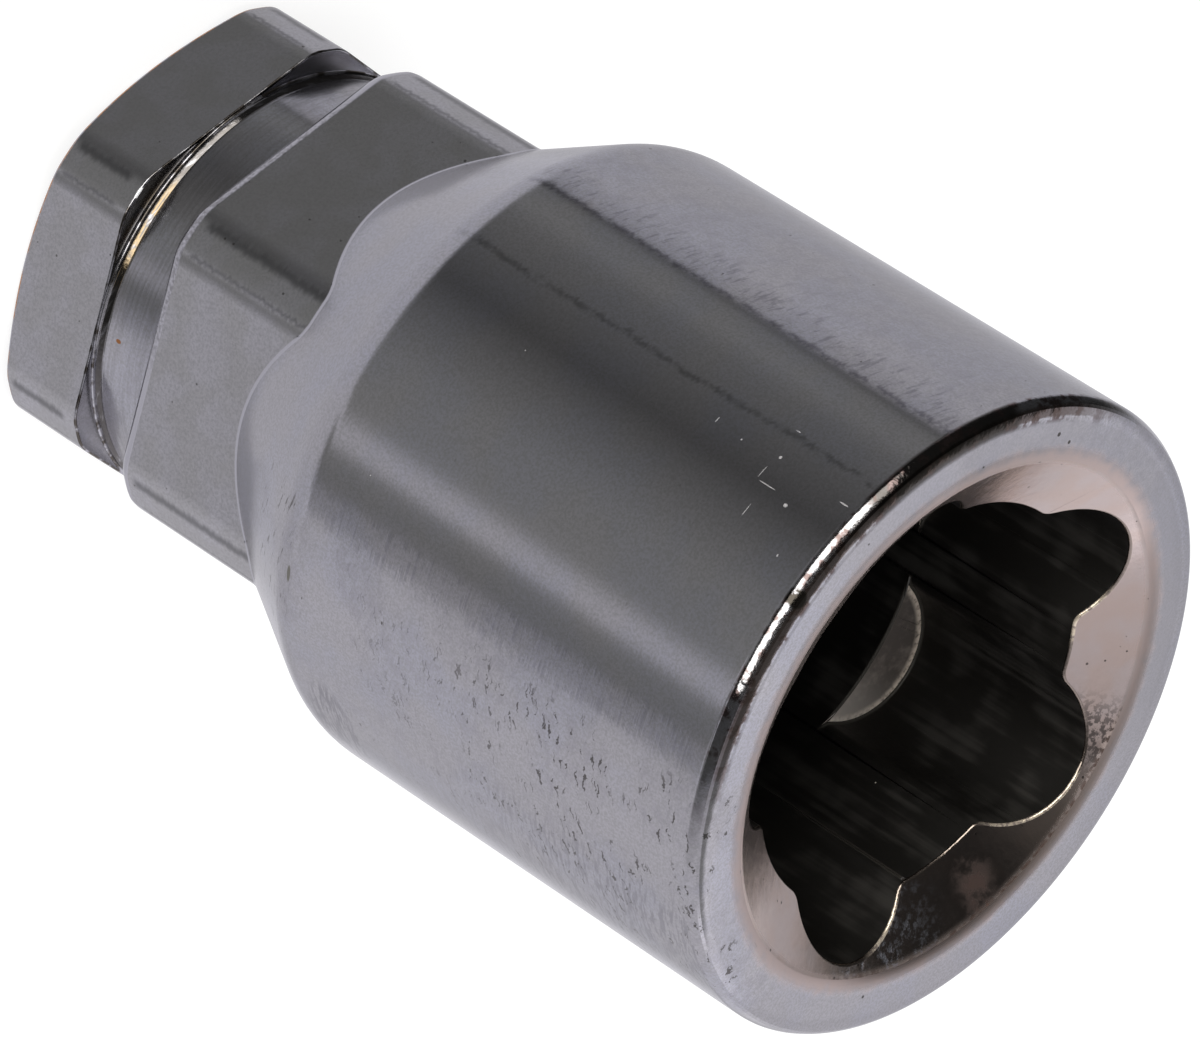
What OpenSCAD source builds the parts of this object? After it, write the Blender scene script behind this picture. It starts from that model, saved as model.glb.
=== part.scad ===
/* [Barrel] */
// Length of the whole key, from the end face to the mouth
key_len = 42.8; // [38:0.1:60]
// Diameter of the round barrel
barrel_d = 27.3; // [26:0.1:34]
// Half angle of the cone between barrel and large hexagon, from the axis
shoulder_angle = 28; // [25:0.5:40]
// Rounding where that cone meets the barrel
shoulder_r = 3; // [0.5:0.1:6]
// Rounding of the rim's outer edge
rim_r = 0.5; // [0.2:0.1:1.2]
// Width of the flat ring around the mouth
rim_w = 1.9; // [0.8:0.1:2.2]

/* [Hexagons] */
// Across flats of the end hexagon, for a 3/4 inch or 19 mm wrench
end_af = 19.05; // [18.6:0.05:19.8]
// Length of the end hexagon
end_len = 4.65; // [3:0.05:7]
// How far inside the end hexagon's flats its end chamfer starts
end_inset = 0.2; // [0.1:0.05:1]
// Slope of that chamfer, from the end face
end_chamfer_angle = 25; // [15:1:45]
// Across flats of the large hexagon, for a 13/16 inch wrench
wrench_af = 20.4; // [20:0.1:22]
// Length of the large hexagon's flats, along their middle line
wrench_len = 5.8; // [4:0.1:8]
// Turned corners of both hexagons, in diameters for each millimetre across flats
corner_ratio = 1.105; // [1.05:0.005:1.15]

/* [Groove] */
// Width of the turned groove between the hexagons
groove_w = 3.2; // [2:0.05:5]
// Depth of the groove below the flats of the end hexagon
groove_depth = 0.15; // [0.1:0.05:2]

/* [Socket] */
// Diameter of the round bore
bore_d = 17.1; // [15:0.1:18]
// Depth of the bore's straight wall below the mouth
bore_depth = 20; // [14:0.5:22]
// Angle of the bore's pointed bottom, over the whole point
point_angle = 118; // [90:1:150]
// Direction of each lobe around the axis, spaced unevenly as the lock's pattern
lobe_angles = [21.5, 95, 157.5, 239, 304];
// Radius of each lobe's rounding
lobe_r = 3.25; // [2.5:0.05:3.5]
// Distance of each lobe's tip from the axis
lobe_reach = 10.6; // [9.8:0.1:11]
// Depth of the lobes' floor below the mouth, at their tips
lobe_depth = 9.4; // [6:0.1:12]
// Fall of that floor towards the bore
lobe_floor_angle = 12; // [0:1:30]
// Slope of the dished mouth, from the rim's plane
dish_angle = 30; // [15:1:45]

/* [Hidden] */
$fn = 96;
cut = 1;
barrel_r = barrel_d / 2;
bore_r = bore_d / 2;
end_face_r = end_af / 2 - end_inset;
groove_r = end_af / 2 - groove_depth;
wrench_z = end_len + groove_w;
shoulder_z = wrench_z + wrench_len;
shoulder_corner_z = shoulder_z + (barrel_r - wrench_af / 2) / tan(shoulder_angle);
shoulder_tangent = shoulder_r * tan(shoulder_angle / 2);
cone_root_z = shoulder_z - (wrench_af / 2 - groove_r) / tan(shoulder_angle);
dish_r = barrel_r - rim_r - rim_w;
lobe_floor_z = key_len - lobe_depth;

// Hexagonal bar with a pair of flats square to X
module hexagonal_bar(across_flats, len) {
    linear_extrude(len) rotate(30) circle(r = across_flats / 2 / cos(30), $fn = 6);
}

// The end hexagon, turned down at its corners and chamfered at its end
module end_hexagon() {
    corner_r = end_af * corner_ratio / 2;
    chamfer_len = (corner_r - end_face_r) * tan(end_chamfer_angle);
    intersection() {
        hexagonal_bar(end_af, end_len);
        rotate_extrude() polygon([
            [0, 0],
            [end_face_r, 0],
            [corner_r, chamfer_len],
            [corner_r, end_len],
            [0, end_len]
        ]);
    }
}

// The large hexagon with turned corners; its flats run out against the cone in six scallops
module wrench_hexagon() {
    len = shoulder_corner_z - wrench_z;
    translate([0, 0, wrench_z]) intersection() {
        hexagonal_bar(wrench_af, len);
        cylinder(d = wrench_af * corner_ratio, h = len);
    }
}

// Half section of everything turned: groove floor, cone, shoulder rounding, barrel and rim
module turned_section() {
    on_cone = [
        barrel_r - shoulder_tangent * sin(shoulder_angle),
        shoulder_corner_z - shoulder_tangent * cos(shoulder_angle)
    ];
    polygon([
        [0, end_len - cut],
        [groove_r, end_len - cut],
        [groove_r, cone_root_z],
        on_cone,
        [barrel_r, shoulder_corner_z + shoulder_tangent],
        [barrel_r, key_len - rim_r],
        [barrel_r - rim_r, key_len],
        [0, key_len]
    ]);
    translate([barrel_r - shoulder_r, shoulder_corner_z + shoulder_tangent]) circle(r = shoulder_r);
    translate([barrel_r - rim_r, key_len - rim_r]) circle(r = rim_r);
}

// Lobes cut outwards from the bore, down to a floor that falls towards it
module lobes() {
    fall = tan(lobe_floor_angle);
    intersection() {
        for (a = lobe_angles) {
            rotate(a) translate([lobe_reach - lobe_r, 0, 0]) cylinder(r = lobe_r, h = key_len + cut);
        }
        rotate_extrude() polygon([
            [0, lobe_floor_z - lobe_reach * fall],
            [lobe_reach + cut, lobe_floor_z + cut * fall],
            [lobe_reach + cut, key_len + cut],
            [0, key_len + cut]
        ]);
    }
}

// The round bore with its drill point
module bore() {
    point_len = bore_r / tan(point_angle / 2);
    translate([0, 0, key_len - bore_depth]) {
        cylinder(r = bore_r, h = bore_depth + cut);
        translate([0, 0, -point_len]) cylinder(r1 = 0, r2 = bore_r, h = point_len);
    }
}

// The dished lead-in inside the rim's flat ring
module dish() {
    slope = tan(dish_angle);
    rotate_extrude() polygon([
        [0, key_len - dish_r * slope],
        [dish_r + cut / slope, key_len + cut],
        [0, key_len + cut]
    ]);
}

// The locking wheel nut key, one solid piece of steel
module key() {
    color("silver") difference() {
        union() {
            end_hexagon();
            wrench_hexagon();
            rotate_extrude() turned_section();
        }
        lobes();
        bore();
        dish();
    }
}

key();
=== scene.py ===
import math
from collections import namedtuple

import bmesh
import bpy
from mathutils import Matrix, Vector


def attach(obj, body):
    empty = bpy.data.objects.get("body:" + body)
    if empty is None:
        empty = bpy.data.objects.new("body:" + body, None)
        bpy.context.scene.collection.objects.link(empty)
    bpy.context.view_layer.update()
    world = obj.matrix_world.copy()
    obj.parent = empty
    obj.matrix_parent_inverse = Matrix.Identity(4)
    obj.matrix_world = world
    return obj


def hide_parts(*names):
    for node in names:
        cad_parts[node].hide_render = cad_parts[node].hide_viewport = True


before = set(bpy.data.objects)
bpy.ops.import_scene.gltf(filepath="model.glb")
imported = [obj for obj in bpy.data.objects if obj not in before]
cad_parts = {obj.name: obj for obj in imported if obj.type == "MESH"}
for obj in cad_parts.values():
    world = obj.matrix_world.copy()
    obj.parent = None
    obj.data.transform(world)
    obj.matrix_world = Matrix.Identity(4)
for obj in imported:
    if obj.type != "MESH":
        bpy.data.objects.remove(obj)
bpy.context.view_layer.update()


# ---- Camera
# The photograph was taken with a long lens from above the socket's side, a little over a third of a
# metre away, and rolled so that the key lies across the picture with its mouth at the lower right.
SENSOR_WIDTH = 36
LENS_LENGTH = 281.4
CAMERA_PLACE = (0.004901, -0.303356, 0.228872)
PICTURE_RIGHT = (-0.546798, 0.462888, 0.697672)
PICTURE_UP = (-0.837187, -0.313619, -0.448064)
PICTURE_BACK = (0.0114, -0.829082, 0.55901)


def place_photo_camera():
    lens = bpy.data.cameras.new("photo_lens")
    lens.sensor_width = SENSOR_WIDTH
    lens.lens = LENS_LENGTH
    lens.clip_start = 0.01
    lens.clip_end = 20
    camera = bpy.data.objects.new("photo_camera", lens)
    bpy.context.scene.collection.objects.link(camera)
    turn = Matrix((PICTURE_RIGHT, PICTURE_UP, PICTURE_BACK)).transposed().to_4x4()
    camera.matrix_world = Matrix.Translation(CAMERA_PLACE) @ turn
    bpy.context.scene.camera = camera
    bpy.context.scene.view_settings.view_transform = "Standard"


place_photo_camera()


# ---- Table, room and lamps
# A pale table under the key and soft lamps above it. The room is pale at the back and sides and dark
# where the camera stands, with one bright strip window there, as bright plate shows it.
def new_material(name):
    material = bpy.data.materials.new(name)
    material.use_nodes = True
    material.node_tree.nodes.clear()
    return material


def add_node(tree, kind, **settings):
    node = tree.nodes.new("ShaderNode" + kind)
    for setting, value in settings.items():
        setattr(node, setting, value)
    return node


def calculate(tree, operation, *values):
    """One Math node; each value is a number or another node's output."""
    node = add_node(tree, "Math", operation=operation)
    for socket, value in zip(node.inputs, values):
        if isinstance(value, (int, float)):
            socket.default_value = value
        else:
            tree.links.new(value, socket)
    return node.outputs[0]


def fade(tree, value, low, high, at_low=0.0, at_high=1.0):
    """A smooth step between two values."""
    node = add_node(tree, "MapRange", interpolation_type="SMOOTHSTEP")
    tree.links.new(value, node.inputs["Value"])
    limits = {"From Min": low, "From Max": high, "To Min": at_low, "To Max": at_high}
    for socket, number in limits.items():
        node.inputs[socket].default_value = number
    return node.outputs["Result"]


def blend_colours(tree, share, first, second):
    node = add_node(tree, "Mix", data_type="RGBA")
    for socket, value in zip((node.inputs[0], node.inputs[6], node.inputs[7]), (share, first, second)):
        if isinstance(value, (int, float)):
            socket.default_value = value
        elif isinstance(value, tuple):
            socket.default_value = (*value, 1)
        else:
            tree.links.new(value, socket)
    return node.outputs[2]


def colour_ramp(tree, value, stops):
    node = add_node(tree, "ValToRGB")
    tree.links.new(value, node.inputs[0])
    elements = node.color_ramp.elements
    while len(elements) < len(stops):
        elements.new(0.5)
    for element, (place, colour) in zip(elements, stops):
        element.position = place
        element.color = (*colour, 1)
    return node.outputs[0]


def product(tree, *values):
    total = values[0]
    for value in values[1:]:
        total = calculate(tree, "MULTIPLY", total, value)
    return total


def band(tree, value, low, high, soft):
    """1 between two values, with a soft edge on both sides."""
    rise = fade(tree, value, low - soft, low + soft)
    return product(tree, rise, fade(tree, value, high + soft, high - soft))


# What lies round the key, as pairs of a direction in degrees and a level, white being 1. Below the
# table's height the room is pale all round, and dark on the camera's side with one pale slit.
FULL_TURN = 360
BELOW = (
    (0, 0.86), (40, 0.78), (60, 0.62), (75, 0.8), (90, 0.78), (107, 0.62), (118, 0.56), (171, 0.68),
    (184.5, 0.5), (187, 0.12), (190, 0.27), (198, 0.3), (207, 0.22), (225, 0.15), (238, 0.1),
    (250, 0.18), (270, 0.31), (292, 0.35), (297.5, 0.68), (303.5, 0.7), (305.5, 0.31), (315.5, 0.27),
    (318, 0.24), (319.5, 0.42), (329, 0.48), (330.5, 0.78), (350, 0.84), (360, 0.86))
BESIDE = (
    (0, 0.85), (40, 0.95), (60, 1.05), (72, 0.86), (90, 0.8), (105, 0.66), (119, 0.66), (126, 0.22),
    (135, 0.035), (205, 0.07), (300, 0.07), (325, 0.1), (345, 0.6), (360, 0.85))
OVERHEAD = (
    (0, 0.66), (38, 0.8), (58, 0.62), (74, 0.3), (100, 0.26), (120, 0.05), (205, 0.04), (300, 0.06),
    (330, 0.15), (350, 0.55), (360, 0.66))
PANEL_LEAN = 0.194
LEAN_FROM = 0.566
PALE_LEVEL = 0.4
PALE_TINT = (1.0, 0.985, 1.04)
DARK_TINT = (1.0, 1.0, 0.985)
TABLE_COLOUR = (0.72, 0.71, 0.755)
CEILING_COLOUR = (0.2, 0.195, 0.185)
WINDOW_COLOUR = (5.0, 4.9, 4.6)
WINDOW_TURNS = (216, 295)
WINDOW_HEIGHTS = (0.09, 0.47)
NEARBY_LEVEL = 1.55
# How high each part of the room gives way to the next, -1 being straight down and 1 straight up
TABLE_TO_BELOW = (-0.76, -0.66)
BELOW_TO_BESIDE = (-0.38, -0.2)
NEARBY_END = (0.515, 0.542)
BESIDE_TO_OVERHEAD = (0.6, 0.67)
OVERHEAD_TO_CEILING = (0.965, 0.998)


def build_room():
    world = bpy.data.worlds.new("studio_room")
    bpy.context.scene.world = world
    world.use_nodes = True
    tree = world.node_tree
    tree.nodes.clear()
    axes = add_node(tree, "SeparateXYZ")
    tree.links.new(add_node(tree, "TexCoord").outputs["Generated"], axes.inputs[0])
    x, y, z = axes.outputs
    angle = calculate(tree, "DIVIDE", calculate(tree, "ARCTAN2", y, x), 2 * math.pi)
    around = calculate(tree, "FRACT", angle)

    def walls(place, levels):
        stops = []
        for direction, level in levels:
            tint = PALE_TINT if level > PALE_LEVEL else DARK_TINT
            stops.append((direction / FULL_TURN, tuple(level * part for part in tint)))
        return colour_ramp(tree, place, stops)

    # The edges of the low panels lean, so that marks on the plate fray them.
    lean = calculate(tree, "MULTIPLY", calculate(tree, "ADD", z, LEAN_FROM), PANEL_LEAN)
    below = walls(calculate(tree, "SUBTRACT", around, lean), BELOW)
    bright = add_node(tree, "VectorMath", operation="SCALE")
    tree.links.new(walls(around, BESIDE), bright.inputs[0])
    tree.links.new(fade(tree, z, *NEARBY_END, 1.0, NEARBY_LEVEL), bright.inputs["Scale"])
    overhead = walls(around, OVERHEAD)
    sides = blend_colours(tree, fade(tree, z, *BESIDE_TO_OVERHEAD), bright.outputs[0], overhead)
    sides = blend_colours(tree, fade(tree, z, *OVERHEAD_TO_CEILING), sides, CEILING_COLOUR)
    across = band(tree, around, *[direction / FULL_TURN for direction in WINDOW_TURNS], 0.01)
    window = product(tree, across, band(tree, z, *WINDOW_HEIGHTS, 0.03))
    sides = blend_colours(tree, window, sides, WINDOW_COLOUR)
    sides = blend_colours(tree, fade(tree, z, *BELOW_TO_BESIDE), below, sides)
    table = blend_colours(tree, fade(tree, z, *TABLE_TO_BELOW), TABLE_COLOUR, sides)
    seen = add_node(tree, "LightPath").outputs["Is Camera Ray"]
    background = add_node(tree, "Background")
    tree.links.new(blend_colours(tree, seen, table, (1.0, 1.0, 1.0)), background.inputs["Color"])
    output = add_node(tree, "OutputWorld")
    tree.links.new(background.outputs[0], output.inputs[0])


KEY_MIDDLE = (0, 0, 0.02)


def hang_soft_box(name, around, height, distance, width, length, level):
    """A soft box that faces the key, with directions in degrees and sizes in metres. Level is how
    bright its face is, white being 1."""
    lamp = bpy.data.lights.new(name, "AREA")
    lamp.shape = "RECTANGLE"
    lamp.size = width
    lamp.size_y = length
    lamp.energy = level * math.pi * width * length
    box = bpy.data.objects.new(name, lamp)
    bpy.context.scene.collection.objects.link(box)
    tilt, turn = math.radians(90 - height), math.radians(90 + around)
    facing = Matrix.Rotation(turn, 4, "Z") @ Matrix.Rotation(tilt, 4, "X")
    centre = Matrix.Translation(KEY_MIDDLE)
    box.matrix_world = centre @ facing @ Matrix.Translation((0, 0, distance))
    box.visible_camera = False
    box.visible_glossy = False


TABLE_SIZE = 3
TABLE_PAINT = 0.95
NEAR_KEY, WHITE_FROM = 0.02, 0.1
WHITE_NEAR_KEY = 0.72
WHITE_STRENGTH = 1.12


def lay_table():
    """A pale table that turns to white away from the key."""
    bpy.ops.mesh.primitive_plane_add(size=TABLE_SIZE)
    table = bpy.context.object
    table.name = "pale_table"
    material = new_material("pale_table")
    tree = material.node_tree
    length = add_node(tree, "VectorMath", operation="LENGTH")
    tree.links.new(add_node(tree, "TexCoord").outputs["Object"], length.inputs[0])
    far = fade(tree, length.outputs["Value"], NEAR_KEY, WHITE_FROM, WHITE_NEAR_KEY, 1.0)
    paint = add_node(tree, "BsdfDiffuse")
    paint.inputs["Color"].default_value = (TABLE_PAINT, TABLE_PAINT, TABLE_PAINT, 1)
    white = add_node(tree, "Emission")
    white.inputs["Strength"].default_value = WHITE_STRENGTH
    seen = add_node(tree, "LightPath").outputs["Is Camera Ray"]
    mix = add_node(tree, "MixShader")
    tree.links.new(calculate(tree, "MULTIPLY", far, seen), mix.inputs[0])
    tree.links.new(paint.outputs[0], mix.inputs[1])
    tree.links.new(white.outputs[0], mix.inputs[2])
    output = add_node(tree, "OutputMaterial")
    tree.links.new(mix.outputs[0], output.inputs[0])
    table.data.materials.append(material)
    table.visible_glossy = False


build_room()
hang_soft_box("tall_soft_box", around=286, height=38, distance=0.55, width=0.3, length=0.5, level=3.0)
hang_soft_box("ceiling_soft_box", around=90, height=89, distance=0.7, width=0.4, length=0.4, level=6.0)
lay_table()


# ---- The key's blank
# One bar of steel, turned: groove floor, cone shoulder, round barrel, crowned rim and dished mouth.
# A narrow chamfer at the groove's root is what the parting tool left.
MM = 0.001
TURN_STEPS = 192


def curve(centre, radii, from_angle, to_angle, points):
    """Points along a part of an ellipse, in millimetres from the axis and from the end face."""
    sweep = to_angle - from_angle
    angles = [math.radians(from_angle + sweep * i / points) for i in range(points + 1)]
    return [(centre[0] + radii[0] * math.cos(a), centre[1] + radii[1] * math.sin(a)) for a in angles]


def turn_solid(name, section, steps=TURN_STEPS):
    """Draws a half section point by point and spins it round the key's axis."""
    bpy.ops.object.select_all(action="DESELECT")
    bpy.ops.mesh.primitive_plane_add(size=MM)
    solid = bpy.context.object
    solid.name = name
    bpy.ops.object.mode_set(mode="EDIT")
    bpy.ops.mesh.merge(type="CENTER")
    bpy.ops.transform.translate(value=(section[0][0] * MM, 0, section[0][1] * MM))
    for here, there in zip(section, section[1:]):
        step = ((there[0] - here[0]) * MM, 0, (there[1] - here[1]) * MM)
        bpy.ops.mesh.extrude_region_move(TRANSFORM_OT_translate={"value": step})
    bpy.ops.mesh.select_all(action="SELECT")
    bpy.ops.mesh.spin(steps=steps, angle=2 * math.pi, center=(0, 0, 0), axis=(0, 0, 1))
    bpy.ops.mesh.select_all(action="SELECT")
    bpy.ops.mesh.remove_doubles(threshold=0.0005 * MM)
    bpy.ops.mesh.normals_make_consistent(inside=False)
    bpy.ops.object.mode_set(mode="OBJECT")
    return solid


def work_solid(solid, tool, operation):
    """Joins a tool's solid to the work or cuts it away."""
    step = solid.modifiers.new("step", "BOOLEAN")
    step.operation = operation
    step.solver = "EXACT"
    step.object = tool
    bpy.ops.object.select_all(action="DESELECT")
    solid.select_set(True)
    bpy.context.view_layer.objects.active = solid
    bpy.ops.object.modifier_apply(modifier=step.name)
    bpy.data.objects.remove(tool)


# Sizes in millimetres and heights from the end face
KEY_LEN = 42.8
BARREL_R = 13.65
GROOVE_R = 9.375
CONE_ANGLE = 28
CONE = math.radians(CONE_ANGLE)
SHOULDER_R = 3.0
WRENCH_AF = 20.4
WRENCH_LOW = 7.85
FLATS_END = 13.65
DISH_R = 11.25
DISH = math.radians(30)
DISH_EDGE = 0.4
DISH_EDGE_R = 1.5
BAR_LOW = 3.5
ROOT_LIP = 0.1
CROWN = (
    (0, 0.6), (0.008, 0.5), (0.04, 0.39), (0.12, 0.24), (0.2, 0.13), (0.31, 0.06), (0.48, 0.02),
    (0.7, 0.003), (0.95, 0))

corner_z = FLATS_END + (BARREL_R - WRENCH_AF / 2) / math.tan(CONE)
arc_z = corner_z + SHOULDER_R * math.tan(CONE / 2)
root_z = FLATS_END - (WRENCH_AF / 2 - GROOVE_R) / math.tan(CONE)

# Up the groove's wall with the chamfer at its root, round the shoulder, over the crowned rim, whose
# points are (inward, down) from its outer top corner, and down the dish
lip_r = GROOVE_R + ROOT_LIP
blank_section = [(0, BAR_LOW), (GROOVE_R - 0.02, BAR_LOW), (lip_r, 4.6), (lip_r, 4.86)]
blank_section += [(GROOVE_R + 0.075, 4.93), (GROOVE_R + 0.01, 5.06), (GROOVE_R, 5.14), (GROOVE_R, root_z)]
blank_section += curve((BARREL_R - SHOULDER_R, arc_z), (SHOULDER_R, SHOULDER_R), -CONE_ANGLE, 0, 6)
blank_section += [(BARREL_R - inward, KEY_LEN - down) for inward, down in CROWN]
blank_section += curve(
    (DISH_R + DISH_EDGE, KEY_LEN - DISH_EDGE_R), (DISH_EDGE_R, DISH_EDGE_R), 90, 120, 7)
blank_section.append((0, KEY_LEN - DISH_R * math.tan(DISH)))

key = turn_solid("locking_nut_key", blank_section)


# ---- The wrench hexagons
# Two hexagons milled on the bar before its corners were turned down, so each corner is a narrow
# round strip. The large one runs out against the cone in scallops; the end one has a turned chamfer.
def outline_bar(name, outline, low, high):
    """A straight bar with the given outline, in millimetres, between two heights."""
    bpy.ops.object.select_all(action="DESELECT")
    bpy.ops.mesh.primitive_circle_add(
        vertices=len(outline), radius=MM, fill_type="NGON", location=(0, 0, 0))
    bar = bpy.context.object
    bar.name = name
    for corner, (x, y) in zip(bar.data.vertices, outline):
        corner.co = (x * MM, y * MM, low * MM)
    bpy.ops.object.mode_set(mode="EDIT")
    bpy.ops.mesh.select_all(action="SELECT")
    bpy.ops.mesh.extrude_region_move(TRANSFORM_OT_translate={"value": (0, 0, (high - low) * MM)})
    bpy.ops.mesh.select_all(action="SELECT")
    bpy.ops.mesh.normals_make_consistent(inside=False)
    bpy.ops.object.mode_set(mode="OBJECT")
    return bar


CORNER_BLEND = 0.22
CORNER_SPREAD = 9
CORNER_STEPS = 24


def hexagon_bar(name, across_flats, corner_r, low, high):
    """A hexagonal bar whose corners are turned to a radius, softly blended into the flats."""
    step = 2 * CORNER_SPREAD / CORNER_STEPS
    outline = []
    for corner in range(30, FULL_TURN, 60):
        for off_corner in [-CORNER_SPREAD + step * i for i in range(CORNER_STEPS + 1)]:
            flat_r = across_flats / 2 / math.cos(math.radians(30 - abs(off_corner)))
            share = min(1, max(0, 0.5 + 0.5 * (corner_r - flat_r) / CORNER_BLEND))
            reach = corner_r + (flat_r - corner_r) * share - CORNER_BLEND * share * (1 - share)
            turn = math.radians(corner + off_corner)
            outline.append((reach * math.cos(turn), reach * math.sin(turn)))
    return outline_bar(name, outline, low, high)


END_AF = 19.05
END_LEN = 4.65
CORNER_RATIO = 1.105
END_CHAMFER = math.radians(25)
END_FACE_R = END_AF / 2 - 0.2
# The turned tools are wider than what they shape and stand past its ends.
TOOL_R = 12
CLEAR = 1

large_hexagon = hexagon_bar("large_hexagon", WRENCH_AF, WRENCH_AF * CORNER_RATIO / 2, WRENCH_LOW, corner_z)
work_solid(key, large_hexagon, "UNION")

end_hexagon = hexagon_bar("end_hexagon", END_AF, END_AF * CORNER_RATIO / 2, 0, END_LEN)
work_solid(end_hexagon, turn_solid("end_chamfer", [
    (0, 0), (END_FACE_R, 0), (TOOL_R, (TOOL_R - END_FACE_R) * math.tan(END_CHAMFER)),
    (TOOL_R, END_LEN + CLEAR), (0, END_LEN + CLEAR)]), "INTERSECT")
work_solid(key, end_hexagon, "UNION")


# ---- The socket
# Five round lobes, spaced unevenly as this lock's own pattern, broached round a drilled bore.
# Each lobe stops at a floor that falls a little towards the bore, which goes on to a drill point.
BORE_R = 8.55
BORE_DEPTH = 20
POINT_ANGLE = 118
LOBE_R = 3.25
FILLET_R = 0.8
LOBE_REACH = 10.6
LOBE_MIDDLE = LOBE_REACH - LOBE_R
LOBE_FLOOR = KEY_LEN - 9.4
LOBE_ANGLES = (21.5, 95, 157.5, 239, 304)
FLOOR_FALL = math.tan(math.radians(12))
# With the blank's own count of steps the lobes' boolean failed.
LOBE_STEPS = 180

lobes = turn_solid("lobes", [
    (0, LOBE_FLOOR - LOBE_REACH * FLOOR_FALL), (TOOL_R, LOBE_FLOOR + (TOOL_R - LOBE_REACH) * FLOOR_FALL),
    (TOOL_R, KEY_LEN + CLEAR), (0, KEY_LEN + CLEAR)], LOBE_STEPS)

# A fillet's circle touches the bore's and the lobe's from outside both, so its middle is known by its
# distance from each.
FILLET_REACH = BORE_R + FILLET_R
from_lobe = LOBE_R + FILLET_R
FILLET_OFF = math.degrees(math.acos(
    (FILLET_REACH ** 2 + LOBE_MIDDLE ** 2 - from_lobe ** 2) / (2 * FILLET_REACH * LOBE_MIDDLE)))
fillet_turn = math.radians(FILLET_OFF)
fillet = FILLET_REACH * math.cos(fillet_turn), FILLET_REACH * math.sin(fillet_turn)
tip_end = math.degrees(math.atan2(fillet[1], fillet[0] - LOBE_MIDDLE))
flank = curve(fillet, (FILLET_R, FILLET_R), tip_end + 180, FILLET_OFF + 180, 6)
lobe_outline = [(x, -y) for x, y in reversed(flank)][:-1]
lobe_outline += curve((LOBE_MIDDLE, 0), (LOBE_R, LOBE_R), -tip_end, tip_end, 64)
lobe_outline += flank[1:]
lobe_tools = []
for lobe_angle in LOBE_ANGLES:
    cos, sin = math.cos(math.radians(lobe_angle)), math.sin(math.radians(lobe_angle))
    turned_outline = [(x * cos - y * sin, x * sin + y * cos) for x, y in lobe_outline]
    lobe_tools.append(outline_bar("lobe_bar", turned_outline, 0, 2 * KEY_LEN))
bpy.ops.object.select_all(action="DESELECT")
for tool in lobe_tools:
    tool.select_set(True)
bpy.context.view_layer.objects.active = lobe_tools[0]
bpy.ops.object.join()
work_solid(lobes, lobe_tools[0], "INTERSECT")
work_solid(key, lobes, "DIFFERENCE")

bore_floor = KEY_LEN - BORE_DEPTH
drill_point = BORE_R / math.tan(math.radians(POINT_ANGLE / 2))
work_solid(key, turn_solid("bore", [
    (0, bore_floor - drill_point), (BORE_R, bore_floor), (BORE_R, KEY_LEN + CLEAR), (0, KEY_LEN + CLEAR)]),
    "DIFFERENCE")


# ---- Broken edges
# Every edge was broken by tumbling before plating, most of all the large hexagon's front ones.
# Each face is first given to the finish that it gets; the broken edges have one of their own.
FINISHES = ("turned_plate", "milled_plate", "dished_mouth", "bare_socket", "lobe_floor", "broken_edge")
FRONT_ROUNDING = 0.72
EDGE_ROUNDING = 0.09
SHARP_FRONT = 60
SHARP_EDGE = 24
SAME_PLANE = math.radians(0.3)
SAME_POINT = 0.004


def finish_of(centre, normal):
    """The finish of a face, from its middle in millimetres and the way it faces."""
    reach = math.hypot(centre.x, centre.y)
    outward = (centre.x * normal.x + centre.y * normal.y) / max(reach, 0.001)
    upright = abs(normal.z) < 0.05
    if normal.z > 0.93 and centre.z > 42:
        return "turned_plate"
    if upright and centre.z < 18 and reach > GROOVE_R + 0.1:
        return "milled_plate"
    if reach < DISH_R and 0.8 < normal.z < 0.93 and centre.z > 36:
        return "dished_mouth"
    if reach > BORE_R and normal.z > 0.9 and 30 < centre.z < 35:
        return "lobe_floor"
    if reach < LOBE_REACH + 0.05 and centre.z > 16 and (outward < 0.3 or reach < BORE_R):
        return "bare_socket"
    return "turned_plate"


def select_edges(solid, wanted):
    bpy.ops.mesh.select_all(action="DESELECT")
    mesh = bmesh.from_edit_mesh(solid.data)
    for edge in mesh.edges:
        if len(edge.link_faces) == 2 and wanted(edge):
            edge.select_set(True)
    bmesh.update_edit_mesh(solid.data)


bpy.ops.object.select_all(action="DESELECT")
key.select_set(True)
bpy.context.view_layer.objects.active = key
bpy.ops.object.mode_set(mode="EDIT")
bpy.ops.mesh.select_all(action="SELECT")
bpy.ops.mesh.remove_doubles(threshold=SAME_POINT * MM)
bpy.ops.mesh.dissolve_limited(angle_limit=SAME_PLANE)
bpy.ops.object.mode_set(mode="OBJECT")
key.data.materials.clear()
for finish in FINISHES:
    key.data.materials.append(new_material(finish))
for face in key.data.polygons:
    face.material_index = FINISHES.index(finish_of(face.center / MM, face.normal))
bpy.ops.object.mode_set(mode="EDIT")


def on_large_front(point):
    """Whether a corner lies on the large hexagon's front edge."""
    return abs(point.z / MM - WRENCH_LOW) < 0.01 and point.xy.length > (GROOVE_R + 0.3) * MM


def break_edges(rounding, segments):
    bpy.ops.mesh.bevel(
        offset=rounding * MM, segments=segments, affect="EDGES", clamp_overlap=False,
        material=FINISHES.index("broken_edge"))


select_edges(key, lambda edge: edge.calc_face_angle() > math.radians(SHARP_FRONT) and all(
    on_large_front(corner.co) for corner in edge.verts))
break_edges(FRONT_ROUNDING, 5)
select_edges(key, lambda edge: edge.calc_face_angle() > math.radians(SHARP_EDGE))
break_edges(EDGE_ROUNDING, 3)
bpy.ops.object.mode_set(mode="OBJECT")


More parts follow.
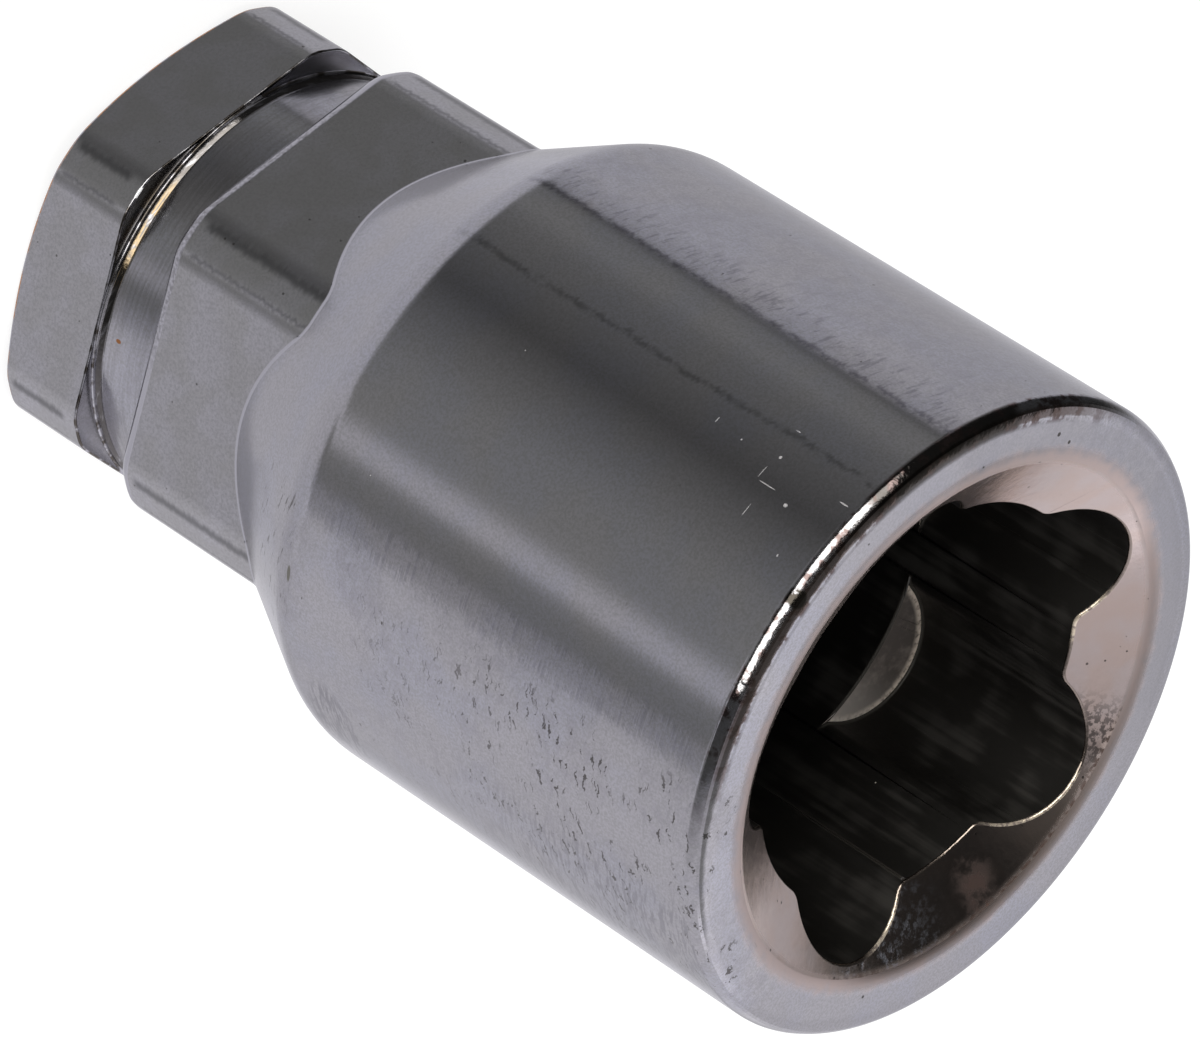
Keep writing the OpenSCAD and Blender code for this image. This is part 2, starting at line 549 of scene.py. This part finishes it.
# ---- Even shading
# The turned and broached walls are truly round, so each corner of a facet takes the round wall's own
# direction there, and the broken edges lead from one wall's direction to the next.
# Facets at a corner are shaded as one wall, or as one edge, where the cosine between them is over this.
SAME_WALL = 0.956
SAME_EDGE = 0.6
ON_WALL = 0.02


def round_direction(face, corner, axes):
    """The way a round wall faces at a corner of one of its facets. A flat one faces one way all over."""
    if abs(face.normal.z) > 0.999:
        return face.normal.copy()
    for axis in axes:
        middle = face.center / MM - axis
        reach = math.hypot(middle.x, middle.y)
        along = (face.normal.x * middle.x + face.normal.y * middle.y) / max(reach, 0.001)
        across = (face.normal.y * middle.x - face.normal.x * middle.y) / max(reach, 0.001)
        if abs(across) < 0.004 and abs(along) > 0.01:
            spot = corner / MM - axis
            out = math.hypot(spot.x, spot.y)
            if out > 0.01:
                return Vector((along * spot.x / out, along * spot.y / out, face.normal.z)).normalized()
    return face.normal.copy()


def shade_evenly(solid):
    mesh = solid.data
    edge_finish = FINISHES.index("broken_edge")
    milled = FINISHES.index("milled_plate")
    socket = FINISHES.index("bare_socket")
    key_axis = [Vector((0, 0, 0))]
    round_walls = []
    for a in LOBE_ANGLES:
        for off, distance, radius in (
                (0, LOBE_MIDDLE, LOBE_R), (FILLET_OFF, FILLET_REACH, FILLET_R),
                (-FILLET_OFF, FILLET_REACH, FILLET_R)):
            turn = math.radians(a + off)
            axis = Vector((distance * math.cos(turn), distance * math.sin(turn), 0))
            round_walls.append((axis, radius))
    at_corner = [[] for _ in mesh.vertices]
    for face in mesh.polygons:
        if face.material_index == milled:
            axes = []
        elif face.material_index == socket:
            beside = face.center / MM
            axes = [axis for axis, radius in round_walls
                    if abs(math.hypot(beside.x - axis.x, beside.y - axis.y) - radius) < ON_WALL] + key_axis
        else:
            axes = key_axis
        for v in face.vertices:
            edge = face.material_index == edge_finish
            way = face.normal.copy() if edge else round_direction(face, mesh.vertices[v].co, axes)
            at_corner[v].append((edge, way, face.area))
    normals = []
    for face in mesh.polygons:
        edge = face.material_index == edge_finish
        for v in face.vertices:
            walls = [(way, area) for e, way, area in at_corner[v] if not e]
            if edge and walls:
                own = max((way for way, _ in walls), key=lambda way: way.dot(face.normal))
            elif edge:
                own, walls = face.normal, [(way, area) for _, way, area in at_corner[v]]
            else:
                own = min((way for way, _ in walls), key=lambda way: (way - face.normal).length)
            limit = SAME_EDGE if edge and all(e for e, _, _ in at_corner[v]) else SAME_WALL
            total = Vector((0, 0, 0))
            for way, area in walls:
                if way.dot(own) > limit:
                    total += way * area
            normals.append((total if total.length > 0 else own).normalized())
    mesh.normals_split_custom_set(normals)


bpy.ops.object.shade_smooth()
shade_evenly(key)


# ---- The plate's looks
# Bright nickel and chrome plate over turned and milled steel. Marks of the lathe and the polisher run
# round it, with pits, hairline cracks, stains and dust where it has been handled and worn.
MM_IN_METRE = 1000


def scaled(tree, vector, factors):
    node = add_node(tree, "VectorMath", operation="MULTIPLY")
    tree.links.new(vector, node.inputs[0])
    node.inputs[1].default_value = factors
    return node.outputs[0]


def shifted(tree, vector, amount):
    node = add_node(tree, "VectorMath", operation="ADD")
    tree.links.new(vector, node.inputs[0])
    tree.links.new(amount, node.inputs[1])
    return node.outputs[0]


def grain(tree, vector, scale, detail=2.0, roughness=0.5):
    """Noise from 0 to 1 with so many waves in a millimetre."""
    node = add_node(tree, "TexNoise")
    tree.links.new(vector, node.inputs["Vector"])
    node.inputs["Scale"].default_value = scale
    node.inputs["Detail"].default_value = detail
    node.inputs["Roughness"].default_value = roughness
    return node.outputs["Fac"]


def round_marks(tree, parts, length, pitch, detail=1.0, lean=0.0):
    """Marks that run round the axis, with their length and the distance between them in millimetres."""
    x, y, z = parts
    node = add_node(tree, "CombineXYZ")
    height = calculate(tree, "ADD", z, product(tree, x, lean)) if lean else z
    for socket, value, size in zip(node.inputs, (x, y, height), (length, length, pitch)):
        tree.links.new(calculate(tree, "DIVIDE", value, size), socket)
    return grain(tree, node.outputs[0], 1, detail, 0.6)


def spots(tree, vector, per_mm, size, share):
    """Round spots in some cells of a scattered pattern: 1 in a spot and 0 outside."""
    cells = add_node(tree, "TexVoronoi")
    tree.links.new(vector, cells.inputs["Vector"])
    cells.inputs["Scale"].default_value = per_mm
    chance = add_node(tree, "SeparateColor")
    tree.links.new(cells.outputs["Color"], chance.inputs[0])
    there = calculate(tree, "LESS_THAN", chance.outputs[0], share)
    width = calculate(tree, "MULTIPLY", chance.outputs[1], size)
    return product(tree, there, calculate(tree, "LESS_THAN", cells.outputs["Distance"], width))


def mark_at(tree, place, centre, size, core=0.8):
    """One mark: 1 inside an egg shape of so many millimetres each way and 0 outside. Its edge runs from
    the core, as a share of its size, to a little past it."""
    offset = add_node(tree, "VectorMath", operation="SUBTRACT")
    tree.links.new(place, offset.inputs[0])
    offset.inputs[1].default_value = centre
    length = add_node(tree, "VectorMath", operation="LENGTH")
    tree.links.new(scaled(tree, offset.outputs[0], [1 / part for part in size]), length.inputs[0])
    return fade(tree, length.outputs["Value"], 1.15, core)


def most(tree, *values):
    total = values[0]
    for value in values[1:]:
        total = calculate(tree, "MAXIMUM", total, value)
    return total


def total_of(tree, *values):
    total = values[0]
    for value in values[1:]:
        total = calculate(tree, "ADD", total, value)
    return total


def layered(tree, colour, *layers):
    """Lays colours over each other, each with the share of what lies below that it covers."""
    for share, over in layers:
        colour = blend_colours(tree, share, colour, over)
    return colour


def raised(tree, *heights):
    """Adds up heights, given in thousandths of a millimetre, and gives the surface's slope."""
    node = add_node(tree, "Bump")
    node.inputs["Distance"].default_value = 0.000001
    tree.links.new(total_of(tree, *heights), node.inputs["Height"])
    return node.outputs["Normal"]


Place = namedtuple("Place", "tree xyz parts z reach turn")


def measured_place(finish):
    """A finish's nodes, with the place on the key in millimetres, its three parts, its height, its
    reach from the axis and its turn round the axis in degrees."""
    tree = bpy.data.materials[finish].node_tree
    xyz = scaled(tree, add_node(tree, "TexCoord").outputs["Object"], [MM_IN_METRE] * 3)
    axes = add_node(tree, "SeparateXYZ")
    tree.links.new(xyz, axes.inputs[0])
    x, y, z = axes.outputs
    reach = calculate(tree, "SQRT", total_of(tree, product(tree, x, x), product(tree, y, y)))
    angle = calculate(tree, "DIVIDE", calculate(tree, "ARCTAN2", y, x), 2 * math.pi)
    turn = calculate(tree, "MULTIPLY", calculate(tree, "FRACT", angle), FULL_TURN)
    return Place(tree, xyz, (x, y, z), z, reach, turn)


def steel(tree, colour, roughness, normal, bare=1.0, marked=None):
    """Bright metal, less of it where bare falls under 1. Marked is how strongly the marks round the
    axis spread its shine."""
    shader = add_node(tree, "BsdfPrincipled")
    looks = (("Base Color", colour), ("Roughness", roughness), ("Normal", normal), ("Metallic", bare))
    for name, value in looks:
        if isinstance(value, (int, float)):
            shader.inputs[name].default_value = value
        else:
            tree.links.new(value, shader.inputs[name])
    if marked:
        shader.inputs["Anisotropic"].default_value = marked
        shader.inputs["Anisotropic Rotation"].default_value = 0.25
        axes = add_node(tree, "SeparateXYZ")
        tree.links.new(add_node(tree, "TexCoord").outputs["Object"], axes.inputs[0])
        node = add_node(tree, "CombineXYZ")
        tree.links.new(calculate(tree, "MULTIPLY", axes.outputs[1], -1), node.inputs[0])
        tree.links.new(axes.outputs[0], node.inputs[1])
        tree.links.new(node.outputs[0], shader.inputs["Tangent"])
    output = add_node(tree, "OutputMaterial")
    tree.links.new(shader.outputs[0], output.inputs[0])


# The turned plate: turns are in degrees round the axis, heights and reaches in millimetres.
NICKEL = (0.43, 0.42, 0.445)
CHROME = (0.415, 0.415, 0.465)
LATHE_SHINE = 0.8  # how strongly the lathe's marks spread the shine across them
RIM_TURNS = (195, 300)
RING_EDGE = (12.7, 12.95)

Marks = namedtuple("Marks", "slow feed fine strokes satin mottled arcs")
Zones = namedtuple("Zones", "ground combed rim ring groove root barrel")


def turning_marks(at):
    """What lathe and polisher left: slow waves, feed marks, fine lines, strokes, grain and arcs."""
    return Marks(
        slow=grain(at.tree, at.xyz, 0.35, 2),
        feed=round_marks(at.tree, at.parts, 3.0, 0.13),
        fine=round_marks(at.tree, at.parts, 2.0, 0.08, 2),
        strokes=round_marks(at.tree, at.parts, 0.9, 0.16, 3, 0.25),
        satin=grain(at.tree, at.xyz, 9, 3, 0.6),
        mottled=grain(at.tree, at.xyz, 1.7, 3, 0.6),
        arcs=round_marks(at.tree, at.parts, 2.5, 0.06, 1))


def turned_zones(at, marks):
    """Where the polisher ground most and where feed marks stayed, then the rim, the ring and so on."""
    tree, z, turn = at.tree, at.z, at.turn
    groove = fade(tree, z, 7.9, 7.7)
    return Zones(
        ground=most(
            tree, band(tree, turn, 165, 229, 3),
            product(tree, band(tree, turn, 300, 360, 4), fade(tree, marks.slow, 0.42, 0.6)),
            product(tree, band(tree, turn, 326, 356, 5), 0.8)),
        combed=product(
            tree, band(tree, turn, 294, 301, 0.8), fade(tree, z, 20, 23), fade(tree, z, 42.2, 41)),
        rim=product(tree, fade(tree, z, 42.15, 42.3), fade(tree, at.reach, *RING_EDGE)),
        ring=product(tree, fade(tree, z, 42.4, 42.6), fade(tree, at.reach, *reversed(RING_EDGE))),
        groove=groove,
        root=product(tree, band(tree, z, 4.8, 5.14, 0.03), groove),
        barrel=product(tree, fade(tree, z, 19.5, 20.5), fade(tree, z, 42.4, 42.2)))


def polish_layers(at, marks, zones):
    """Greys of the fine lines and grain, the polisher's streaks, the feed marks with painted shade on them,
    and two scuffed places.
    """
    tree, z = at.tree, at.z
    streaks = product(tree, fade(tree, marks.strokes, 0.5, 0.72), zones.ground)
    # Real feed marks, with shade painted on them where they fray the edges of the dark bands that the barrel
    # reflects.
    painted_comb_ticks = product(tree, zones.combed, fade(tree, marks.feed, 0.46, 0.56))
    shoulder = mark_at(tree, at.xyz, (12.94, -4.32, 22.2), (2.2, 2.6, 1.3))
    scuffed = product(
        tree, band(tree, at.turn, 327, 352, 6), fade(tree, z, 26, 37), fade(tree, z, 42.5, 42.2),
        fade(tree, marks.strokes, 0.45, 0.6))
    grazed = most(
        tree, product(tree, shoulder, fade(tree, marks.strokes, 0.42, 0.58)), product(tree, scuffed, 0.7))
    return [
        (product(tree, marks.fine, 0.2), (0.3, 0.29, 0.31)),
        (product(tree, fade(tree, marks.satin, 0.36, 0.66), 0.6), (0.31, 0.31, 0.31)),
        (product(tree, fade(tree, marks.mottled, 0.42, 0.66), zones.ground, 0.34), (0.3, 0.29, 0.32)),
        (product(tree, streaks, 0.3), (0.27, 0.265, 0.29)),
        (product(tree, painted_comb_ticks, fade(tree, marks.mottled, 0.4, 0.62), 0.3), (0.2, 0.2, 0.24)),
        (product(tree, grazed, 0.75), (0.2, 0.195, 0.22)),
    ]


def rim_layers(at, marks, zones):
    """The ring's greyer side and copper inner edge, brown places, and painted shade on the crown and over the
    window's reflection.
    """
    tree, reach, turn = at.tree, at.reach, at.turn
    ring_side = product(tree, zones.ring, band(tree, turn, 105, 262, 14), 0.5)
    inner = total_of(tree, reach, product(tree, marks.mottled, 0.7))
    copper = product(tree, fade(tree, inner, 12.3, 11.5), fade(tree, at.z, 42.2, 42.5))
    brown = product(
        tree, zones.rim, fade(tree, marks.mottled, 0.48, 0.6), band(tree, turn, *RIM_TURNS, 12), 0.8)
    crown = total_of(tree, reach, product(tree, marks.mottled, 0.3))
    # Shade painted on the crown of the rim, where it reflects the dark side of the room.
    shade = product(
        tree, band(tree, crown, 13.14, 13.6, 0.05), zones.rim, band(tree, turn, *RIM_TURNS, 10), 0.85)
    # Shade painted over part of the window's bright reflection on the rim, dimming it, and one painted break
    # in that reflection.
    painted_reflection_dimming = product(
        tree, zones.rim, band(tree, turn, 215, 248.5, 1.5), fade(tree, marks.mottled, 0.7, 0.5), 0.9)
    painted_reflection_break = product(
        tree, zones.rim, mark_at(tree, at.xyz, (-0.59, -13.42, 42.5), (0.4, 0.35, 0.6)),
        fade(tree, marks.mottled, 0.35, 0.45))
    return [
        (ring_side, (0.3, 0.295, 0.31)),
        (copper, (0.5, 0.41, 0.38)),
        (brown, (0.07, 0.032, 0.024)),
        (shade, (0.1, 0.075, 0.065)),
        (most(tree, painted_reflection_dimming, painted_reflection_break), (0.045, 0.04, 0.035)),
    ]


def groove_layers(at, marks, zones):
    """Painted shade in the turned groove and on the end hexagon's rear faces, a dark line at its root, and
    gilt arcs there.
    """
    tree, z, turn = at.tree, at.z, at.turn
    # Shade painted in the groove, strongest in two bands on the camera's side and varied by the feed marks.
    painted_groove_shade = total_of(
        tree, product(tree, band(tree, turn, 256, 271, 4), 0.4),
        product(tree, band(tree, turn, 280, 291, 3), 0.3),
        product(tree, fade(tree, marks.feed, 0.4, 0.65), 0.2))
    # Shade painted on the end hexagon's rear faces beside the groove.
    painted_rear_face_shade = product(tree, zones.groove, fade(tree, z, 4.8, 4.74), band(tree, turn, 252, 288, 9), 0.75)
    line = product(
        tree, zones.groove, band(tree, z, 4.82, 5.12, 0.06), fade(tree, marks.strokes, 0.25, 0.5), 0.8)
    gilt = product(
        tree, zones.root, band(tree, turn, 262, 291, 3), fade(tree, marks.arcs, 0.47, 0.53),
        fade(tree, marks.mottled, 0.35, 0.5))
    return [
        (product(tree, zones.groove, painted_groove_shade), (0.17, 0.165, 0.165)),
        (painted_rear_face_shade, (0.22, 0.21, 0.2)),
        (line, (0.06, 0.052, 0.045)),
        (gilt, (0.22, 0.17, 0.11)),
    ]


def streak_layers(at, marks, zones):
    """Painted shade along the edge of the dark band that the barrel reflects, and a wavering line along the
    barrel.
    """
    tree, turn = at.tree, at.turn
    # Shade painted in dashes up to, and as a dark band along, the edge of the dark band that the barrel
    # reflects.
    frayed = total_of(tree, turn, product(tree, marks.strokes, 2.6))
    painted_edge_fringe = product(tree, band(tree, frayed, 224, 230, 3), fade(tree, marks.strokes, 0.5, 0.62), 0.5)
    painted_edge_streak = product(
        tree, most(tree, band(tree, frayed, 230.1, 231.0, 0.6), painted_edge_fringe), fade(tree, marks.mottled, 0.3, 0.55),
        zones.barrel)
    wander = total_of(tree, turn, product(tree, marks.slow, 2.4), product(tree, marks.strokes, 2.4))
    line = product(
        tree, band(tree, wander, 247.8, 248.5, 0.7), fade(tree, marks.mottled, 0.3, 0.6), zones.barrel)
    return [
        (product(tree, painted_edge_streak, 0.7), (0.1, 0.095, 0.115)),
        (product(tree, line, 0.75), (0.1, 0.1, 0.1)),
    ]


def pit_layers(at, marks, zones):
    """Pits, short cracks on the worn low side and along the shoulder, an olive stain and a rust spot."""
    tree, xyz, z, turn = at.tree, at.xyz, at.z, at.turn
    low_side = product(tree, band(tree, turn, 303, 348, 3), fade(tree, z, 16, 18))
    worn = product(tree, low_side, fade(tree, z, 20, 36, 0.15, 1.0), fade(tree, marks.slow, 0.42, 0.55))
    bent = shifted(tree, xyz, product(tree, marks.mottled, 0.9))
    cracks = product(tree, worn, spots(tree, scaled(tree, bent, (0.8, 0.8, 5.0)), 1.6, 0.4, 0.8))
    seam = product(tree, band(tree, turn, 298, 326, 3), band(tree, z, 17.2, 20.4, 0.3))
    cracks = most(tree, cracks, product(tree, seam, fade(tree, marks.strokes, 0.6, 0.66)))
    pitted = total_of(tree, product(tree, zones.ground, 0.8), product(tree, zones.ring, 0.9), 0.2)
    pits = product(tree, spots(tree, scaled(tree, xyz, (0.7, 0.7, 1.4)), 1.5, 0.1, 0.2), pitted)
    olive = mark_at(tree, xyz, (9.01, -10.21, 20.49), (0.4, 0.36, 0.1))
    rust = mark_at(tree, xyz, (5.14, -7.84, 5.79), (0.09, 0.09, 0.14))
    return [
        (product(tree, most(tree, pits, cracks), 0.85), (0.07, 0.065, 0.06)),
        (product(tree, olive, 0.8), (0.13, 0.125, 0.09)),
        (rust, (0.3, 0.13, 0.05)),
    ]


# Each fleck of dust, with its middle and its half size in millimetres
DUST = (
    ((-4.64, -12.83, 34.91), (0.13, 0.13, 0.02)), ((-4.48, -12.89, 36.34), (0.04, 0.04, 0.04)),
    ((-4.69, -12.81, 38.18), (0.07, 0.07, 0.06)), ((-5.88, -12.32, 37.89), (0.02, 0.1, 0.12)),
    ((-3.89, -13.08, 38.02), (0.27, 0.27, 0.014)), ((-3.55, -13.17, 38.6), (0.02, 0.2, 0.42)),
    ((-3.27, -13.25, 39.8), (0.08, 0.08, 0.09)), ((-4.47, -12.9, 41.7), (0.03, 0.1, 0.22)),
    ((-2.37, -13.44, 38.58), (0.3, 0.2, 0.014)), ((-1.55, -13.56, 40.91), (0.06, 0.06, 0.03)))


def finish_turned_plate():
    at = measured_place("turned_plate")
    tree, z, turn = at.tree, at.z, at.turn
    marks = turning_marks(at)
    zones = turned_zones(at, marks)
    flecks = [mark_at(tree, at.xyz, centre, size) for centre, size in DUST]
    dust = most(tree, *flecks, spots(tree, at.xyz, 0.55, 0.022, 0.45))
    plate = blend_colours(tree, fade(tree, grain(tree, at.xyz, 0.28, 3), 0.4, 0.62), NICKEL, CHROME)
    colour = layered(
        tree, plate, *polish_layers(at, marks, zones), *rim_layers(at, marks, zones),
        *groove_layers(at, marks, zones), *streak_layers(at, marks, zones), *pit_layers(at, marks, zones),
        (product(tree, dust, 0.2), (0.45, 0.43, 0.4)))
    dish_side = product(tree, zones.ring, fade(tree, at.reach, 11.9, 11.5))
    rough = total_of(
        tree, 0.085, product(tree, zones.ground, 0.05), product(tree, marks.satin, 0.04),
        product(tree, dust, 0.3), product(tree, zones.groove, 0.03), product(tree, dish_side, 0.2))
    combed = product(tree, zones.combed, fade(tree, marks.mottled, 0.36, 0.6), 1.8)
    shoulder = band(tree, z, 18, 21.5, 1)
    cut_rim = product(tree, zones.rim, band(tree, turn, *RIM_TURNS, 12), 18)
    normal = raised(
        tree,
        product(tree, marks.feed, total_of(tree, 0.7, combed, product(tree, zones.groove, 1.2))),
        product(tree, marks.strokes, total_of(
            tree, product(tree, zones.ground, 1.5), product(tree, shoulder, 2.0), 0.2)),
        product(tree, marks.satin, 0.45),
        product(tree, marks.mottled, total_of(
            tree, product(tree, zones.ground, 2.5), cut_rim, product(tree, zones.root, 14), 0.4)))
    bare = total_of(tree, 1.0, product(tree, dust, -0.45))
    steel(tree, colour, rough, normal, bare, LATHE_SHINE)


# The milled plate: satin flats with shade painted along both sides of each turned corner, a fold
# being 30 degrees either way from a corner's middle.
SATIN_PLATE = ((0.4, 0.395, 0.405), (0.43, 0.425, 0.45))
LARGE_FLATS = (8.95, 16)
END_FLATS = (0.9, 3.9)


def finish_milled_plate():
    at = measured_place("milled_plate")
    tree, xyz, z = at.tree, at.xyz, at.z
    satin = grain(tree, xyz, 8, 3, 0.65)
    slow = grain(tree, xyz, 0.5, 2)
    fold = calculate(tree, "SUBTRACT", calculate(tree, "MODULO", at.turn, 60), 30)
    ragged = total_of(tree, round_marks(tree, at.parts, 1.0, 0.2, 2), -0.5)
    frayed = total_of(tree, fold, product(tree, ragged, 1.6))
    flats = most(tree, band(tree, z, *LARGE_FLATS, 0.25), band(tree, z, *END_FLATS, 0.2))
    # Shade painted along both sides of each turned corner, narrower on one side.
    painted_thin_shade = product(tree, band(tree, frayed, 3.6, 4.4, 0.5), 0.8)
    corner = product(tree, most(tree, band(tree, frayed, -3.9, -1.9, 0.9), painted_thin_shade), flats)
    pits = spots(tree, xyz, 1.7, 0.11, 0.3)
    dot = mark_at(tree, xyz, (4.15, -9.38, 8.31), (0.09, 0.09, 0.09))
    colour = layered(
        tree, blend_colours(tree, fade(tree, slow, 0.4, 0.6), *SATIN_PLATE),
        (product(tree, fade(tree, satin, 0.35, 0.7), 0.4), (0.25, 0.25, 0.25)),
        (product(tree, corner, 0.75), (0.11, 0.11, 0.115)),
        (most(tree, product(tree, pits, 0.75), dot), (0.05, 0.045, 0.04)))
    rough = total_of(tree, 0.14, product(tree, satin, 0.14))
    normal = raised(tree, product(tree, satin, 1.6), product(tree, slow, 5), product(tree, pits, -5))
    steel(tree, colour, rough, normal)


# The dished mouth: copper-tinted plate, with light painted on one side and shade painted on the other, which
# is also stained.
COPPERY_PLATE = ((0.5, 0.405, 0.365), (0.5, 0.425, 0.4))
PAINTED_LIGHT_TURNS = (228, 344)
PAINTED_SHADE_TURNS = (20, 92)


def finish_dished_mouth():
    at = measured_place("dished_mouth")
    tree, xyz, reach, turn = at.tree, at.xyz, at.reach, at.turn
    satin = grain(tree, xyz, 4, 4, 0.65)
    slow = grain(tree, xyz, 0.7, 2)
    pits = spots(tree, xyz, 2.4, 0.15, 0.3)
    worn = product(tree, band(tree, turn, 22, 48, 8), fade(tree, slow, 0.35, 0.55))
    bent = shifted(tree, xyz, product(tree, grain(tree, xyz, 1.1, 4, 0.65), 2.2))
    brown = product(tree, mark_at(tree, bent, (5.7, 10.2, 42.9), (1.5, 1.4, 1.6), 0.25), 0.85)
    copper = product(tree, fade(tree, reach, 10.8, 11.1), band(tree, turn, 16, 108, 6))
    # Light painted on one side of the dish and shade painted on the other.
    bright = product(tree, band(tree, turn, *PAINTED_LIGHT_TURNS, 10), 0.75)
    dark = product(tree, band(tree, turn, *PAINTED_SHADE_TURNS, 6), total_of(tree, 0.6, product(tree, slow, 0.3)))
    speckled = product(tree, band(tree, turn, 99, 112, 5), fade(tree, satin, 0.46, 0.54))
    unstained = calculate(tree, "SUBTRACT", 1.0, brown)
    colour = layered(
        tree, blend_colours(tree, fade(tree, slow, 0.35, 0.65), *COPPERY_PLATE),
        (bright, (0.85, 0.72, 0.66)),
        (dark, (0.2, 0.17, 0.155)),
        (product(tree, worn, fade(tree, satin, 0.47, 0.62)), (0.8, 0.8, 0.88)),
        (product(tree, speckled, 0.8), (0.08, 0.07, 0.065)),
        (brown, (0.06, 0.034, 0.029)),
        (product(tree, copper, fade(tree, satin, 0.4, 0.6), 0.8), (0.1, 0.055, 0.04)),
        (product(tree, pits, 0.8, unstained), (0.06, 0.05, 0.045)))
    ring_side = fade(tree, reach, 10.85, 11.1)
    rough = total_of(tree, 0.13, product(tree, satin, 0.16), product(tree, ring_side, 0.2))
    normal = raised(
        tree, product(tree, satin, total_of(tree, 4, product(tree, worn, 20))), product(tree, slow, 14),
        product(tree, pits, -12))
    bare = total_of(tree, 1.0, product(tree, brown, brown, brown, -0.6), product(tree, copper, -0.2))
    steel(tree, colour, rough, normal, bare)


# The socket: bare dark steel, drawn lengthways by the broach, and paler on the lobes' floors, with painted
# highlights and light painted on the floors.
SOCKET_BARE_SHARE = 0.35
FLOOR_FOOT = (LOBE_R - 0.42, LOBE_R - 0.12)


def from_nearest_lobe(at):
    """The distance from the middle of the nearest lobe."""
    flat = scaled(at.tree, at.xyz, (1, 1, 0))
    nearest = None
    for lobe_angle in LOBE_ANGLES:
        node = add_node(at.tree, "VectorMath", operation="DISTANCE")
        at.tree.links.new(flat, node.inputs[0])
        turned = math.radians(lobe_angle)
        node.inputs[1].default_value = (LOBE_MIDDLE * math.cos(turned), LOBE_MIDDLE * math.sin(turned), 0)
        own = node.outputs["Value"]
        nearest = own if nearest is None else calculate(at.tree, "MINIMUM", nearest, own)
    return nearest


def finish_socket(finish, dark, light, depth):
    at = measured_place(finish)
    tree, xyz = at.tree, at.xyz
    lengthways = grain(tree, scaled(tree, xyz, (2.4, 2.4, 0.08)), 1, 2, 0.65)
    drawn = total_of(tree, product(tree, lengthways, 0.45), product(tree, grain(tree, xyz, 0.5, 2), 0.55))
    satin = grain(tree, xyz, 5, 2)
    layers = []
    if finish == "lobe_floor":
        foot = product(tree, fade(tree, from_nearest_lobe(at), *FLOOR_FOOT), fade(tree, satin, 0.2, 0.6))
        layers.append((foot, (0.5, 0.43, 0.36)))
        # Light painted on the lobes' floors, growing towards the turn of 74 degrees.
        layers.append((fade(tree, at.turn, 95, 74, 0.0, 0.6), (0.36, 0.33, 0.3)))
    # Small highlights painted as pale spots on the socket's walls and floors.
    painted_sparkles = spots(tree, xyz, 1.5, 0.06, 0.12)
    layers.append((painted_sparkles, (0.6, 0.58, 0.5)))
    colour = layered(tree, blend_colours(tree, fade(tree, drawn, 0.45, 0.66), dark, light), *layers)
    rough = total_of(tree, 0.4, product(tree, satin, 0.2))
    normal = raised(tree, product(tree, drawn, depth), product(tree, satin, 3))
    steel(tree, colour, rough, normal, SOCKET_BARE_SHARE)


# The broken edges: worn bright, with a gold burr along parts of the mouth, dark at the groove and
# coppery at the end face, with shade painted on the large hexagon's front edge and a highlight painted at one
# corner.
EDGE_PLATE = (0.46, 0.455, 0.49)
GOLD = ((0.5, 0.4, 0.3), (0.8, 0.72, 0.6))
BURR_TURNS = ((74, 97), (30, 42), (128, 142))


def finish_broken_edge():
    at = measured_place("broken_edge")
    tree, xyz, z, turn = at.tree, at.xyz, at.z, at.turn
    patchy = grain(tree, xyz, 1.6, 3)
    rough_cut = grain(tree, xyz, 6, 2)
    mouth = product(tree, fade(tree, z, 40.95, 41.15), fade(tree, z, 42.75, 42.6))
    inside = product(tree, fade(tree, z, 18, 20), fade(tree, z, 41.15, 40.95))
    burr = product(tree, mouth, most(tree, *[band(tree, turn, *turns, 3) for turns in BURR_TURNS]))
    cut = product(tree, band(tree, z, 4.3, 4.8, 0.05), fade(tree, patchy, 0.6, 0.42))
    # Shade painted on the large hexagon's front edge, on the side turned 225 to 300 degrees, dimming its
    # reflection.
    front = product(
        tree, band(tree, z, 7.5, 9, 0.3), band(tree, turn, 225, 300, 8), fade(tree, rough_cut, 0.3, 0.7))
    # A highlight painted white at one corner of the end hexagon's rear edge.
    painted_highlight = most(
        tree, mark_at(tree, xyz, (-0.19, -10.5, 4.63), (0.25, 0.3, 0.12)),
        mark_at(tree, xyz, (0.25, -10.5, 4.5), (0.12, 0.2, 0.07)))
    copper = product(tree, fade(tree, z, 1.4, 0.3), fade(tree, patchy, 0.35, 0.55))
    colour = layered(
        tree, blend_colours(tree, mouth, EDGE_PLATE, (0.3, 0.25, 0.22)),
        (front, (0.28, 0.275, 0.29)),
        (product(tree, burr, fade(tree, rough_cut, 0.4, 0.55)), blend_colours(tree, patchy, *GOLD)),
        (inside, (0.035, 0.032, 0.028)),
        (cut, (0.1, 0.088, 0.078)),
        (painted_highlight, (0.95, 0.95, 0.97)),
        (copper, (0.45, 0.23, 0.12)))
    rough = total_of(tree, 0.13, product(tree, patchy, 0.14))
    normal = raised(
        tree, product(tree, patchy, total_of(tree, 4, product(tree, mouth, 30))),
        product(tree, rough_cut, total_of(tree, 1.2, product(tree, mouth, 6))))
    bare = total_of(
        tree, 1.0, product(tree, burr, -0.35), product(tree, copper, -0.4), product(tree, inside, -0.7),
        product(tree, painted_highlight, -0.7))
    steel(tree, colour, rough, normal, bare)


finish_turned_plate()
finish_milled_plate()
finish_dished_mouth()
finish_socket("bare_socket", (0.007, 0.0062, 0.0055), (0.028, 0.026, 0.024), 3)
finish_socket("lobe_floor", (0.062, 0.053, 0.048), (0.125, 0.107, 0.095), 2)
finish_broken_edge()
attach(key, "root")
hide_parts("key")
